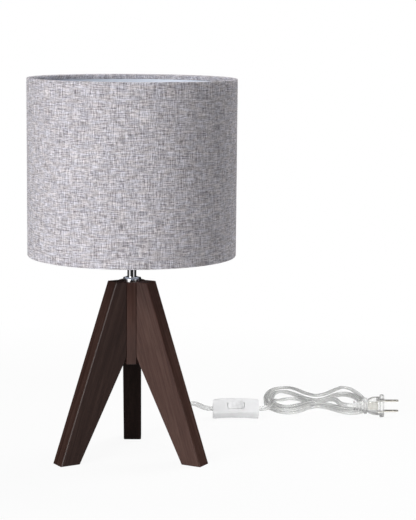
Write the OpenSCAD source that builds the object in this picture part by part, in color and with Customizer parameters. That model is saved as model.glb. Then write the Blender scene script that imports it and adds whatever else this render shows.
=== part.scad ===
// Tripod table lamp: three tapered wooden legs on a round post, a plated tube,
// a straight drum shade, and a clear twin cord with a rocker switch and a plug.
// Millimetres. The lamp's axis is Z, and the table is z = 0.

/* [Legs] */
// Height of the legs' level tops above the table
base_h = 197; // [170:1:230]
// Thickness of each leg board
leg_t = 20; // [17:0.5:22]
// Width of a leg's level top
leg_top_w = 13.3; // [11:0.1:18]
// Reach of a foot's outer corner from the lamp's axis
foot_reach = 92.4; // [80:0.2:105]
// Length of a foot along the table
foot_l = 23; // [16:0.5:30]
// Height of the knee, where a leg's inner edge leaves the post
knee_h = 113.5; // [105:0.5:125]
// Bevel along the edges of a leg
leg_bevel = 0.8; // [0.4:0.1:1.5]
// Diameter of the dowels that pin a leg to the post
dowel_d = 6; // [5:0.5:8]
// Length of a dowel
dowel_l = 18; // [14:0.5:20]

/* [Post] */
// Diameter of the round post
post_d = 30.4; // [29:0.2:34]
// How far the post reaches below the knees
post_drop = 8; // [6:0.5:12]
// Diameter of the recess in the post's lower end
recess_d = 22; // [19:0.5:23]
// Depth of the recess in the post's lower end
recess_depth = 18; // [16:0.5:24]

/* [Tube and collar] */
// Outer diameter of the plated tube
tube_d = 10; // [9:0.1:10.5]
// Wall of the plated tube
tube_wall = 1.1; // [0.8:0.1:1.3]
// Diameter of the domed collar on the leg tops
collar_d = 19; // [17:0.5:24]
// Height of the domed collar
collar_h = 4; // [3:0.1:6]
// Thickness of the washer under the post
washer_t = 1.5; // [1:0.1:2.5]
// Width of the nut across its flats
nut_af = 14; // [13:0.5:15]
// Height of the nut
nut_h = 6; // [4:0.5:7]

/* [Shade] */
// Outer diameter of the drum
shade_d = 228; // [200:1:260]
// Height of the drum
shade_h = 193; // [160:1:220]
// Distance from the leg tops up to the drum
shade_gap = 28.3; // [22:0.1:40]
// Thickness of the cloth
cloth_t = 0.8; // [0.6:0.1:1.2]
// Thickness of the stiff lining
lining_t = 0.6; // [0.4:0.1:1]
// Diameter of the wire rings in the hems
wire_d = 2.6; // [2:0.1:3.5]
// Length of cloth turned in below a wire ring
hem_h = 1.2; // [0.8:0.1:6]
// Height of the fitter ring above the drum's lower edge
fitter_rise = 24; // [18:0.5:34]
// Diameter of the three fitter arms
arm_d = 3; // [2.4:0.1:4]

/* [Lamp holder] */
// Outer diameter of the holder's threaded body
holder_d = 33; // [32:0.1:34]
// Diameter of the shoulder that carries the shade
shoulder_d = 38; // [36.5:0.1:39.5]
// Thickness of the shoulder
shoulder_t = 3; // [2:0.1:4]
// Height of the holder's cap
cap_h = 26; // [23:0.5:30]
// Height of the body above the shoulder
body_h = 33; // [32:0.5:36]
// Inner radius of the screw shell
shell_r = 13.2; // [13.1:0.05:13.4]
// Height of the screw shell
shell_h = 23; // [20:0.5:25]
// Outer diameter of the ring that clamps the shade
clamp_ring_d = 42; // [40.5:0.1:46]
// Height of the clamping ring
clamp_ring_h = 6; // [5:0.1:9]
// Thickness of the fitter ring
fitter_t = 1.6; // [1.2:0.1:2.5]

/* [Cord and bushing] */
// Width of the flat twin cord
cord_w = 6.2; // [5.4:0.1:6.3]
// Thickness of the flat twin cord
cord_t = 3.1; // [2.6:0.1:3.2]
// Length of the bushing's tapered sleeve
sleeve_l = 20; // [16:1:24]
// Thickness of the bushing's flange
flange_t = 1.5; // [1:0.1:2]
// Diameter of the bushing's flange
flange_d = 9.6; // [9.2:0.1:10]

/* [Rocker switch] */
// Length of the switch housing
switch_l = 56; // [52:0.5:62]
// Width of the switch housing
switch_w = 20.6; // [19:0.2:22]
// Thickness of the switch housing
switch_t = 15.6; // [15:0.1:16.4]
// Bevel along the housing's back edges
back_bevel = 3; // [2:0.1:3.4]
// Corner radius of the housing
switch_corner = 3.5; // [2:0.1:5]
// Radius of the housing's lengthwise bow
bow_r = 190; // [170:5:400]
// Wall of the housing
switch_wall = 1.8; // [1.6:0.1:2.2]
// Length of the rocker
rocker_l = 20; // [18:0.2:21]
// Width of the rocker
rocker_w = 10; // [9:0.1:10.4]
// Corner radius of the rocker, seen from above
rocker_corner = 3.2; // [2:0.1:4]
// Diameter of the rocker's pin
pin_d = 2; // [1.6:0.1:2.2]
// Angle between the rocker's two stops
rocker_swing = 14; // [10:0.5:16]

/* [Plug] */
// Height of the plug's flange, across its two blades
plug_h = 28; // [27:0.2:28]
// Depth of the plug's flange
plug_depth = 18; // [17:0.2:20]
// Thickness of the flange
plug_flange_t = 5; // [4:0.1:6]
// Length of the plug's bell
bell_l = 14.8; // [13:0.1:17]
// Length of the collar behind the bell
neck_l = 5.4; // [4:0.1:6.5]
// Length of the ribbed strain relief
relief_l = 12; // [10:0.2:13]
// Distance between the two blades
blade_pitch = 12.7; // [12.5:0.1:12.9]
// Width of a blade
blade_w = 6.3; // [6:0.1:6.6]
// Thickness of a blade
blade_t = 1.5; // [1.4:0.05:1.6]
// Length of a blade outside the plug
blade_l = 18; // [16:0.2:18.4]

/* [Hidden] */
$fn = 96;

// Clearances
slip = 0.1;       // between round pieces that slide together
running = 0.05;   // round a pin that turns
free_gap = 0.3;   // round a piece that moves

// Legs and post
leg_angles = [-30, 210, 90];
post_r = post_d / 2;
// A flat of the post is as wide as a leg is thick
seat_r = sqrt(pow(post_r, 2) - pow(leg_t / 2, 2));
post_z = knee_h - post_drop;
dowel_in_post = 4.5;
dowel_end = 0.5;
dowel_inset = 20;
dowel_heights = [knee_h + dowel_inset, base_h - dowel_inset];
post_edge = 0.6;

// Tube, and what is stacked on it below the post
tube_r = tube_d / 2;
recess_z = post_z + recess_depth;
nut_z = recess_z - washer_t - nut_h;
tube_z = nut_z - 1;
exit_angle = 30;
exit_rise = 4.2;
exit_z = post_z + exit_rise;
recess_r = recess_d / 2;
flange_seat_r = post_r - 1;
barrel_d = 7.8;
bushing_bore_d = cord_w + 0.4;
sleeve_end_r = flange_seat_r + flange_t + sleeve_l;

// Shade and lamp holder, upwards
shade_r = shade_d / 2;
shade_z = base_h + shade_gap;
shade_top = shade_z + shade_h;
lining_out_r = shade_r - cloth_t - slip;
lining_in_r = lining_out_r - lining_t;
wire_r = wire_d / 2;
hem_in = wire_r + slip;
hem_out = hem_in + cloth_t;
arm_gap = 0.2;
wire_ring_r = lining_in_r - hem_in;
fold_r = lining_in_r - slip;
ring_z_low = shade_z + hem_out;
ring_z_top = shade_top - hem_out;
shoulder_z = shade_z + fitter_rise;
body_z = shoulder_z - shoulder_t;
cap_z = body_z - cap_h;
bush_h = 9;
tube_top = cap_z + bush_h;
bush_r = 7;
cap_skirt_h = 6;
holder_r = holder_d / 2;
shell_out_r = shell_r + 0.4;
shell_lip_r = shell_r - 2;
shell_corner = 2.6;
core_rise = 5;
core_z = body_z + core_rise;
core_h = 5;
shell_z = core_z + core_h;
core_r = shell_out_r + 0.6;
fitter_top = shoulder_z + fitter_t;
fitter_in_r = holder_r + 0.3;
fitter_out_r = holder_r + 6;
grip_count = 24;
arm_angles = [-30, 210, 90];

// Switch: it lies on the bevel of its back edge, with its rocker up and forward. Its
// housing is bowed along its length, so that the bevel touches the table at both ends.
switch_x = 124;
switch_y = 174.5;
switch_lean = 45;
back_r = bow_r - switch_t;
back_sag = back_r - sqrt(pow(back_r, 2) - pow(switch_l / 2, 2));
bevel_rest = (switch_w / 2 + switch_t / 2 - back_bevel + back_sag) / sqrt(2);
front_bevel = 1;
pin_depth = 2.3;
pin_z = switch_t / 2 - pin_depth;
rocker_r = rocker_l / 2;
bay_l = rocker_l + 2 * free_gap;
bay_w = rocker_w + 2 * free_gap;
bay_corner = rocker_corner - free_gap;
pin_hold = 2;
pin_l = bay_w + 2 * pin_hold;
slot_w = cord_w + 0.4;
slot_t = cord_t + 0.4;
terminal_x = 17;
terminal_size = [5, 7, 3];
screw_x = switch_l / 2 - 4;
screw_y = slot_w / 2 + 1.5;
screw_at = [[-screw_x, screw_y], [screw_x, -screw_y]];
screw_head_r = 2.1;
screw_head_h = 1.4;
screw_r = 0.95;
screw_tip = 4.2;
screw_sink = 2.8;
// The screws seat at one depth below the bowed back
screw_seat = screw_sink - switch_t / 2 - back_r + sqrt(pow(back_r, 2) - pow(screw_x, 2));
cavity_end = 7;
cavity_l = switch_l - 2 * cavity_end;
cavity_h = switch_t - 2 * switch_wall - 1;

// Plug: it lies on the narrow edge of its flange, one blade above the other
plug_x = 268;
plug_y = 183;
plug_z = plug_h / 2;
neck_x = relief_l;
bell_x = neck_x + neck_l;
flange_x = bell_x + bell_l;
plug_l = flange_x + plug_flange_t;
blade_root = 9;

// Routes of the cord's free stretches. Each point holds the place of the cord's centre,
// the way that its wide side points, and how far that side leans up from the table.
exit_wide = exit_angle + 90;
exit_run = [
    for (r = [recess_r, recess_r + 13, sleeve_end_r + 1.3])
        [r * cos(exit_angle), r * sin(exit_angle), exit_z, exit_wide, 0]
];
lamp_to_switch = concat(exit_run, [
    [40, 23, 106, 122, 0], [47, 27, 98, 125, 0], [52, 30, 86, 130, 0], [54, 32, 72, 140, 0],
    [55, 33, 58, 150, 0], [56, 35, 44, 160, 0], [57, 38, 31, 168, 0], [58, 44, 19, 174, 0],
    [59, 54, 9.5, 180, 0], [59, 67, 3.5, 182, 0], [58, 81, 1.7, 185, 0], [56, 96, 1.6, 186, 0],
    [54, 112, 1.6, 187, 0], [52, 128, 1.6, 187, 0], [50, 144, 1.6, 187, 0],
    [48.5, 158, 1.6, 185, 0], [47.5, 171, 1.9, 180, 5], [48, 183, 3.2, 170, 12],
    [51.5, 193.5, 5.6, 150, 20], [57.5, 200.5, 8.8, 130, 28], [64.5, 203, 11.2, 100, 36],
    [70.5, 201, 12.3, 75, 42], [75, 196.5, 12.8, 50, 45], [78.6, 190.8, 12.9, 36, 48],
    [81.8, 184.8, 12.7, 32, 50], [84.8, 179.6, 12.5, 38, 50], [88.4, 176, 12.4, 60, 48],
    [92.4, 174.5, 12.3, 85, 45], [96, 174.5, 12.3, 90, 45]
]);
switch_to_hank = [
    [152, 174.5, 12.3, 90, 45], [155.5, 174.5, 12.3, 90, 45], [159.5, 175.8, 12.5, 105, 45],
    [163, 179.4, 12.9, 125, 42], [165.8, 186, 13.2, 145, 36], [168, 196, 13.2, 155, 30],
    [170, 208, 12.4, 165, 22], [172, 219, 11.4, 170, 14], [175.2, 231, 9.8, 172, 8],
    [178.6, 243, 7.3, 170, 4], [181.8, 254.5, 4.4, 165, 0], [185.6, 265, 2.3, 155, 0],
    [191, 272.6, 1.6, 130, 0], [198.5, 276, 1.6, 100, 0], [205.8, 273.2, 1.6, 70, 0],
    [211.5, 265.8, 1.6, 45, 0], [216.2, 257.4, 1.6, 30, 0], [219.6, 249.6, 1.6, 35, 0],
    [222, 244, 1.6, 60, 0], [225.5, 240.6, 1.6, 80, 0], [229, 240.6, 1.6, 90, 0]
];
hank_to_plug = [
    [229, 245.3, 5.2, 90, 0], [233, 245.3, 5.2, 90, 0], [237, 245.1, 5.8, 88, 5],
    [243, 243.2, 7.6, 70, 15], [248, 237.5, 9.4, 40, 30], [251, 228, 10.8, 15, 45],
    [252.5, 217, 11.4, 5, 60], [253.5, 206, 12, 8, 75], [255.5, 195.5, 12.8, 15, 85],
    [258.5, 188, 13.4, 30, 90], [262, 184, 13.9, 60, 90], [265.5, 183, 14, 90, 90],
    [268, 183, 14, 90, 90]
];
inner_rise = 14;
inner_steps = 5;
inner_low = exit_z + inner_rise;
inner_step = (tube_top - inner_low) / inner_steps;
inner_route = concat(
    [for (p = [[recess_r, 0], [7, 0], [3.6, 1], [1.2, 3.2]])
        [p[0] * cos(exit_angle), p[0] * sin(exit_angle), exit_z + p[1], exit_wide, 0]],
    [[0, 0, exit_z + inner_rise / 2, exit_wide, 0]],
    [for (k = [0 : inner_steps]) [0, 0, inner_low + k * inner_step, exit_wide, 0]],
    [[0, 0, tube_top + 6, exit_wide, 0]]
);

// Hank: three loops drawn in alike at the waist. They wind outwards on the table, climb
// along the high loop at the right, and wind inwards again on top of the first layer.
hank_x = 229;
hank_y = 247;
loop_count = 3;
rings_per_loop = 36;
turn_back = 1.25;      // loops wound when the spiral reverses
half_right = 55;       // half length of the innermost loop, towards the plug
half_left = 58;        // and towards the switch
depth_front = 66;      // depths of the innermost loop's four lobes
depth_back_left = 106;
depth_back_right = 84;
depth_high = 128;
step_end = 7.2;        // steps from loop to loop: at the ends,
step_depth = 11;       // at the lobes,
step_waist = 9.4;      // and at the waist
waist_half = 6.4;
waist_reach = 35;      // how far the waist's narrowing reaches along the hank
waist_step = 4;
high_reach = 46;
layer_low = 1.6;       // heights of the cord's centre in the layers
layer_top = 5.2;
layer_over = 8.9;

function unit(v) = v / norm(v);
function ease(x) = let (c = min(max(x, 0), 1)) c * c * (3 - 2 * c);
function loops_out(t) = t <= turn_back ? t : 2 * turn_back - t;

// A point of the hank after t loops
function hank_point(t) =
    let (
        phi = 360 * t - 90, c = cos(phi), s = sin(phi), n = loops_out(t),
        high = t > turn_back && t < 1.5,
        right = c > 0,
        along = ((right ? half_right : half_left) + step_end * n) * c,
        lobe = high ? depth_high
            : s <= 0 ? depth_front : right ? depth_back_right : depth_back_left,
        reach = high ? high_reach : waist_reach - waist_step * n,
        waist = waist_half + step_waist * n,
        swell = 1 - exp(-pow(along / reach, 2)),
        across = s * (waist + (lobe + step_depth * n - waist) * swell),
        hump = ease((t - 1.3) / 0.1) * ease((1.62 - t) / 0.08),
        climb = ease((t - turn_back) / 0.15)
    )
    [hank_x + along, hank_y + across,
        layer_low + (layer_top - layer_low) * climb + (layer_over - layer_top) * hump];

hank_times = [for (i = [0 : loop_count * rings_per_loop]) i / rings_per_loop];
hank_centres = [for (t = hank_times) hank_point(t)];

// Least gap of the hank to itself, on points along its centre: side by side or stacked
hank_fine = [
    for (i = [0 : len(hank_centres) - 2], k = [0 : 2])
        concat(hank_centres[i] + (hank_centres[i + 1] - hank_centres[i]) * k / 3, [i + k / 3])
];
function pair_gap(a, b) =
    max(norm([a[0] - b[0], a[1] - b[1]]) - cord_w, abs(a[2] - b[2]) - cord_t);
hank_gap = min([
    for (a = hank_fine, b = hank_fine) if (b[3] - a[3] > rings_per_loop / 8) pair_gap(a, b)
]);
echo(least_gap_in_hank = hank_gap);

// Direction along a list of points at its point i
function along(p, i) =
    i == 0 ? unit(p[1] - p[0])
    : i == len(p) - 1 ? unit(p[i] - p[i - 1])
    : unit(unit(p[i + 1] - p[i]) + unit(p[i] - p[i - 1]));

function place(q) = [q[0], q[1], q[2]];
function wide_side(q) = [cos(q[4]) * cos(q[3]), cos(q[4]) * sin(q[3]), sin(q[4])];

// One ring of a flat cord: section points laid across direction d, wide side towards w
function ring_at(c, d, w, section) =
    let (side = unit(w - (w * d) * d), up = cross(d, side))
    [for (s = section) c + s[0] * side + s[1] * up];

// Section of the twin cord with its groove, and the plainer one of the hank
lobe_r = cord_t / 2;
lobe_x = cord_w / 2 - lobe_r;
groove = cord_t * 0.34;
twin_section = concat(
    [for (a = [-72, -24, 24, 72]) [lobe_x + lobe_r * cos(a), lobe_r * sin(a)]],
    [[0, groove]],
    [for (a = [108, 156, 204, 252]) [-lobe_x + lobe_r * cos(a), lobe_r * sin(a)]],
    [[0, -groove]]
);
plain_section = [
    [cord_w / 2, 0], [lobe_x, lobe_r], [-lobe_x, lobe_r],
    [-cord_w / 2, 0], [-lobe_x, -lobe_r], [lobe_x, -lobe_r]
];

// Closed skin over a stack of rings of n points each
module skin(rings) {
    n = len(rings[0]);
    last = len(rings) - 1;
    points = [for (r = rings) for (p = r) p];
    start_cap = [[for (j = [0 : n - 1]) j]];
    end_cap = [[for (j = [n - 1 : -1 : 0]) last * n + j]];
    sides = [
        for (i = [0 : last - 1], j = [0 : n - 1], half = [0, 1])
            let (a = i * n + j, b = i * n + (j + 1) % n)
            half == 0 ? [a, a + n, b] : [b, a + n, b + n]
    ];
    polyhedron(points = points, faces = concat(start_cap, sides, end_cap), convexity = 10);
}

module routed_cord(route) {
    centres = [for (q = route) place(q)];
    skin([
        for (i = [0 : len(route) - 1])
            ring_at(centres[i], along(centres, i), wide_side(route[i]), twin_section)
    ]);
}

// ---- Legs and post ----

leg_profile = [
    [seat_r, knee_h], [seat_r, base_h], [seat_r + leg_top_w, base_h],
    [foot_reach, 0], [foot_reach - foot_l, 0]
];

// Bores for one leg's dowels, running out along +X from the post
module dowel_bores(clearance, end) {
    for (z = dowel_heights)
        translate([seat_r - dowel_in_post - end, 0, z])
            rotate([0, 90, 0])
                cylinder(d = dowel_d + 2 * clearance, h = dowel_l + 2 * end);
}

// Square rods that bevel a board's edges, for the board's outline as drawn flat
module edge_bevels(outline, thick, bevel) {
    side = bevel * sqrt(2);
    for (i = [0 : len(outline) - 1], face = [-1, 1]) {
        p = outline[i];
        q = outline[(i + 1) % len(outline)];
        translate([p[0], p[1], face * thick / 2])
            rotate([0, 0, atan2(q[1] - p[1], q[0] - p[0])])
                rotate([45, 0, 0])
                    translate([-bevel, -side / 2, -side / 2])
                        cube([norm(q - p) + 2 * bevel, side, side]);
    }
}

module leg(angle) {
    rotate([0, 0, angle])
        difference() {
            rotate([90, 0, 0])
                difference() {
                    translate([0, 0, -leg_t / 2])
                        linear_extrude(leg_t)
                            polygon(leg_profile);
                    edge_bevels(leg_profile, leg_t, leg_bevel);
                }
            dowel_bores(slip, dowel_end);
        }
}

module leg_front_right() {
    color("#6b4438") leg(leg_angles[0]);
}

module leg_front_left() {
    color("#6b4438") leg(leg_angles[1]);
}

module leg_back() {
    color("#6b4438") leg(leg_angles[2]);
}

module leg_dowels() {
    color("#c9a77a")
        for (a = leg_angles)
            rotate([0, 0, a])
                dowel_bores(0, 0);
}

module center_post() {
    color("#7a5040")
        difference() {
            rotate_extrude()
                polygon([
                    [0, post_z], [post_r - post_edge, post_z], [post_r, post_z + post_edge],
                    [post_r, base_h - post_edge], [post_r - post_edge, base_h], [0, base_h]
                ]);
            for (a = leg_angles)
                rotate([0, 0, a])
                    translate([seat_r, -post_r, post_z - 1])
                        cube([post_r, post_d, base_h - post_z + 2]);
            for (a = leg_angles)
                rotate([0, 0, a])
                    dowel_bores(slip, dowel_end);
            translate([0, 0, post_z - 1])
                cylinder(r = tube_r + slip, h = base_h - post_z + 2);
            translate([0, 0, post_z - 1])
                cylinder(r = recess_r, h = recess_depth + 1);
            rotate([0, 0, exit_angle])
                translate([0, 0, exit_z])
                    rotate([0, 90, 0]) {
                        cylinder(d = barrel_d + 2 * slip, h = post_d);
                        translate([0, 0, flange_seat_r])
                            cylinder(d = flange_d + 2 * slip, h = post_r);
                    }
        }
}

// ---- Tube, collar and what clamps the post ----

module tube_round(r_in, r_out, z0, z1) {
    rotate_extrude()
        translate([r_in, z0])
            square([r_out - r_in, z1 - z0]);
}

module neck_tube() {
    color("#c8cacf") tube_round(tube_r - tube_wall, tube_r, tube_z, tube_top);
}

module neck_collar() {
    rim = 1;
    bore_r = tube_r + running;
    dome_r = collar_d / 2 - 0.6;
    top_r = tube_r + 1.6;
    color("#c8cacf")
        translate([0, 0, base_h])
            rotate_extrude()
                polygon(concat(
                    [[bore_r, 0], [collar_d / 2, 0], [collar_d / 2, rim]],
                    [for (a = [0 : 15 : 90])
                        [top_r + (dome_r - top_r) * cos(a), rim + (collar_h - rim) * sin(a)]],
                    [[bore_r, collar_h]]
                ));
}

module post_washer() {
    color("#b9bcc2")
        tube_round(tube_r + slip, recess_r - 2, recess_z - washer_t, recess_z);
}

module post_nut() {
    color("#b9bcc2")
        translate([0, 0, nut_z])
            difference() {
                cylinder(d = nut_af / cos(30), h = nut_h, $fn = 6);
                translate([0, 0, -1])
                    cylinder(r = tube_r + running, h = nut_h + 2);
            }
}

module cord_bushing() {
    bore_r = bushing_bore_d / 2;
    color("#e9edef")
        rotate([0, 0, exit_angle])
            translate([0, 0, exit_z])
                rotate([0, 90, 0])
                    rotate_extrude()
                        polygon([
                            [bore_r, recess_r], [barrel_d / 2, recess_r],
                            [barrel_d / 2, flange_seat_r], [flange_d / 2, flange_seat_r],
                            [flange_d / 2, flange_seat_r + flange_t - 0.4],
                            [flange_d / 2 - 0.4, flange_seat_r + flange_t],
                            [bore_r + 1.2, flange_seat_r + flange_t],
                            [bore_r + 0.6, sleeve_end_r], [bore_r, sleeve_end_r]
                        ]);
}

module inner_cord() {
    color("#d9dcd8") routed_cord(inner_route);
}

// ---- Lamp holder ----

module holder_cap() {
    wall = 2;
    bell_rise = cap_h - cap_skirt_h - bush_h;
    bell = [for (a = [0 : 15 : 90])
        [bush_r + (holder_r - bush_r) * sin(a), bush_h + bell_rise * (1 - cos(a))]];
    color("#2b2b2d")
        translate([0, 0, cap_z])
            rotate_extrude()
                polygon(concat(
                    [[tube_r + running, 0], [bush_r - 0.8, 0], [bush_r, 0.8]],
                    bell,
                    [[holder_r, cap_h], [holder_r - wall, cap_h]],
                    [for (a = [90 : -15 : 15])
                        [bush_r + (holder_r - wall - bush_r) * sin(a),
                            bush_h + wall + bell_rise * (1 - cos(a))]],
                    [[tube_r + running, bush_h + wall]]
                ));
}

module holder_body() {
    ledge_r = core_r - 1.6;
    color("#2b2b2d")
        translate([0, 0, body_z])
            rotate_extrude()
                polygon([
                    [ledge_r, 0], [shoulder_d / 2 - 0.6, 0], [shoulder_d / 2, 0.6],
                    [shoulder_d / 2, shoulder_t], [holder_r, shoulder_t],
                    [holder_r, shoulder_t + body_h - 1], [holder_r - 1, shoulder_t + body_h],
                    [core_r + slip, shoulder_t + body_h], [core_r + slip, core_z - body_z],
                    [ledge_r, core_z - body_z]
                ]);
}

module holder_core() {
    color("#e7e2d6")
        translate([0, 0, core_z])
            difference() {
                cylinder(r = core_r, h = core_h);
                for (x = [-1, 1])
                    translate([x * 9, 0, -1])
                        cylinder(d = 3, h = core_h + 2);
            }
}

// The shell turns in at its lower end, and its inner wall is straight above that corner
module screw_shell() {
    wall = shell_out_r - shell_r;
    color("#c9a24a")
        translate([0, 0, shell_z])
            rotate_extrude()
                polygon([
                    [shell_lip_r, 0], [shell_out_r - 1, 0], [shell_out_r, 1],
                    [shell_out_r, shell_h], [shell_r, shell_h], [shell_r, shell_corner],
                    [shell_r - 1.2, wall + 0.5], [shell_lip_r, wall]
                ]);
}

module center_contact() {
    color("#c9a24a")
        translate([0, 0, shell_z]) {
            rotate_extrude()
                polygon([[0, 0], [3.6, 0], [3.6, 0.8], [2, 1.6], [0, 1.6]]);
            rotate([90, 0, 0])
                translate([0, 0, -2])
                    linear_extrude(4)
                        polygon([
                            [-6.5, 0], [-1, 0.6], [0, 1.5], [-1, 1.9], [-6.5, 0.6]
                        ]);
        }
}

module shade_clamp_ring() {
    groove_r = 1;
    color("#2b2b2d")
        difference() {
            rotate_extrude()
                translate([0, fitter_top])
                    polygon([
                        [holder_r + running, 0], [clamp_ring_d / 2, 0],
                        [clamp_ring_d / 2, clamp_ring_h - 0.8],
                        [clamp_ring_d / 2 - 0.8, clamp_ring_h],
                        [holder_r + running, clamp_ring_h]
                    ]);
            for (k = [0 : grip_count - 1])
                rotate([0, 0, k * 360 / grip_count])
                    translate([clamp_ring_d / 2 + groove_r * 0.3, 0, fitter_top - 1])
                        cylinder(r = groove_r, h = clamp_ring_h + 2, $fn = 24);
        }
}

// ---- Shade ----

module wire_ring(z) {
    rotate_extrude($fn = 144)
        translate([wire_ring_r, z])
            circle(r = wire_r, $fn = 32);
}

// Welded ring, arms and lower wire of the shade
module shade_fitter() {
    arm_in = [fitter_out_r - 1.5, fitter_top - fitter_t / 2];
    arm_out = [wire_ring_r, ring_z_low];
    run = arm_out - arm_in;
    color("#d8d8d8")
        union() {
            tube_round(fitter_in_r, fitter_out_r, shoulder_z, fitter_top);
            for (a = arm_angles)
                rotate([0, 0, a])
                    translate([arm_in[0], 0, arm_in[1]])
                        rotate([0, atan2(run[0], run[1]), 0])
                            cylinder(d = arm_d, h = norm(run), $fn = 48);
            wire_ring(ring_z_low);
        }
}

module shade_top_ring() {
    color("#d8d8d8") wire_ring(ring_z_top);
}

module shade_lining() {
    color("#eef1f5")
        rotate_extrude($fn = 180)
            translate([lining_in_r, ring_z_low - wire_r])
                square([lining_t, ring_z_top - ring_z_low + wire_d]);
}

// Half of the cloth's outline, from mid height to one hem, for an edge at height z0.
// up is 1 at the top edge and -1 at the lower edge.
function cloth_outer(z0, up) = concat(
    [[shade_r, z0 - up * 1], [shade_r - 0.3, z0 - up * 0.3], [shade_r - 1, z0]],
    [for (a = [90 : 18 : 234])
        [wire_ring_r + hem_out * cos(a), z0 - up * hem_out + up * hem_out * sin(a)]],
    [[fold_r - cloth_t, z0 - up * (2 * hem_out + 0.6)],
        [fold_r - cloth_t, z0 - up * (2 * hem_out + hem_h)]]
);
function cloth_inner(z0, up) = concat(
    [[fold_r, z0 - up * (2 * hem_out + hem_h)], [fold_r, z0 - up * (2 * hem_out)]],
    [for (a = [252 : -18 : 90])
        [wire_ring_r + hem_in * cos(a), z0 - up * hem_out + up * hem_in * sin(a)]],
    [[shade_r - cloth_t, z0 - up * cloth_t]]
);
function reversed(list) = [for (i = [len(list) - 1 : -1 : 0]) list[i]];

// Slits in the lower hem, from its free edge down past the fitter's arms
module arm_slits() {
    width = arm_d + 2 * arm_gap;
    reach_in = hem_out + 2;
    top = 2 * hem_out + hem_h;
    for (a = arm_angles)
        rotate([0, 0, a])
            rotate([90, 0, 0])
                linear_extrude(width, center = true)
                    translate([wire_ring_r, ring_z_low])
                        polygon([
                            [-reach_in, -width / 2], [0, -width / 2], [0, hem_in],
                            [hem_in, hem_in], [hem_in, top], [-reach_in, top]
                        ]);
}

module shade_cloth() {
    color("#aaa7ad")
        difference() {
            rotate_extrude($fn = 180)
                polygon(concat(
                    cloth_outer(shade_top, 1), cloth_inner(shade_top, 1),
                    reversed(cloth_inner(shade_z, -1)), reversed(cloth_outer(shade_z, -1))
                ));
            arm_slits();
        }
}

// ---- Cord ----

module cord_lamp_to_switch() {
    color("#d9dcd8") routed_cord(lamp_to_switch);
}

module cord_switch_to_hank() {
    color("#d9dcd8") routed_cord(switch_to_hank);
}

module cord_hank() {
    color("#d9dcd8")
        skin([
            for (i = [0 : len(hank_centres) - 1])
                let (d = i == 0 || i == len(hank_centres) - 1
                    ? [1, 0, 0] : along(hank_centres, i))
                ring_at(hank_centres[i], d, unit([-d[1], d[0], 0]), plain_section)
        ]);
}

module cord_hank_to_plug() {
    color("#d9dcd8") routed_cord(hank_to_plug);
}

// ---- Rocker switch, drawn flat with its rocker towards +Z ----

module in_switch_place() {
    translate([switch_x, switch_y, bevel_rest])
        rotate([switch_lean, 0, 0])
            children();
}

function rounded_outline(l, w, r) = [
    for (k = [0 : 3], a = [0 : 15 : 90])
        let (
            sx = k == 0 || k == 3 ? 1 : -1,
            sy = k < 2 ? 1 : -1
        )
        [sx * (l / 2 - r) + r * cos(k * 90 + a), sy * (w / 2 - r) + r * sin(k * 90 + a)]
];

// Outer form of the whole housing: its section, with bevelled edges, swept along the bow
module housing_form() {
    half_w = switch_w / 2;
    section = [
        [back_r, back_bevel - half_w], [back_r, half_w - back_bevel],
        [back_r + back_bevel, half_w], [bow_r - front_bevel, half_w],
        [bow_r, half_w - front_bevel], [bow_r, front_bevel - half_w],
        [bow_r - front_bevel, -half_w], [back_r + back_bevel, -half_w]
    ];
    intersection() {
        translate([0, 0, -switch_t])
            linear_extrude(2 * switch_t)
                polygon(rounded_outline(switch_l, switch_w, switch_corner));
        translate([0, 0, switch_t / 2 - bow_r])
            rotate([90, 0, 0])
                rotate_extrude($fn = 360)
                    polygon(section);
    }
}

// Space in the housing: the slots for the cord, and the cavity
module housing_space() {
    cube([switch_l + 2, slot_w, slot_t], center = true);
    cube([cavity_l, bay_w, cavity_h], center = true);
}

module switch_base() {
    color("#eceef0")
        in_switch_place()
            difference() {
                intersection() {
                    housing_form();
                    translate([-switch_l, -switch_w, -2 * switch_t])
                        cube([2 * switch_l, 2 * switch_w, 2 * switch_t]);
                }
                housing_space();
                for (s = screw_at)
                    translate([s[0], s[1], -switch_t]) {
                        cylinder(d = 2.6, h = 2 * switch_t, $fn = 32);
                        cylinder(r = screw_head_r + 0.2, h = switch_t + screw_seat, $fn = 32);
                    }
            }
}

module switch_cover() {
    color("#f2f3f5")
        in_switch_place()
            difference() {
                intersection() {
                    housing_form();
                    translate([-switch_l, -switch_w, 0])
                        cube([2 * switch_l, 2 * switch_w, switch_t]);
                }
                housing_space();
                linear_extrude(switch_t)
                    polygon(rounded_outline(bay_l, bay_w, bay_corner));
                translate([0, pin_l / 2, pin_z])
                    rotate([90, 0, 0])
                        cylinder(d = pin_d, h = pin_l, $fn = 48);
                for (s = screw_at)
                    translate([s[0], s[1], -1])
                        cylinder(r = screw_r + 0.05, h = screw_tip + 1.4, $fn = 32);
            }
}

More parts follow.
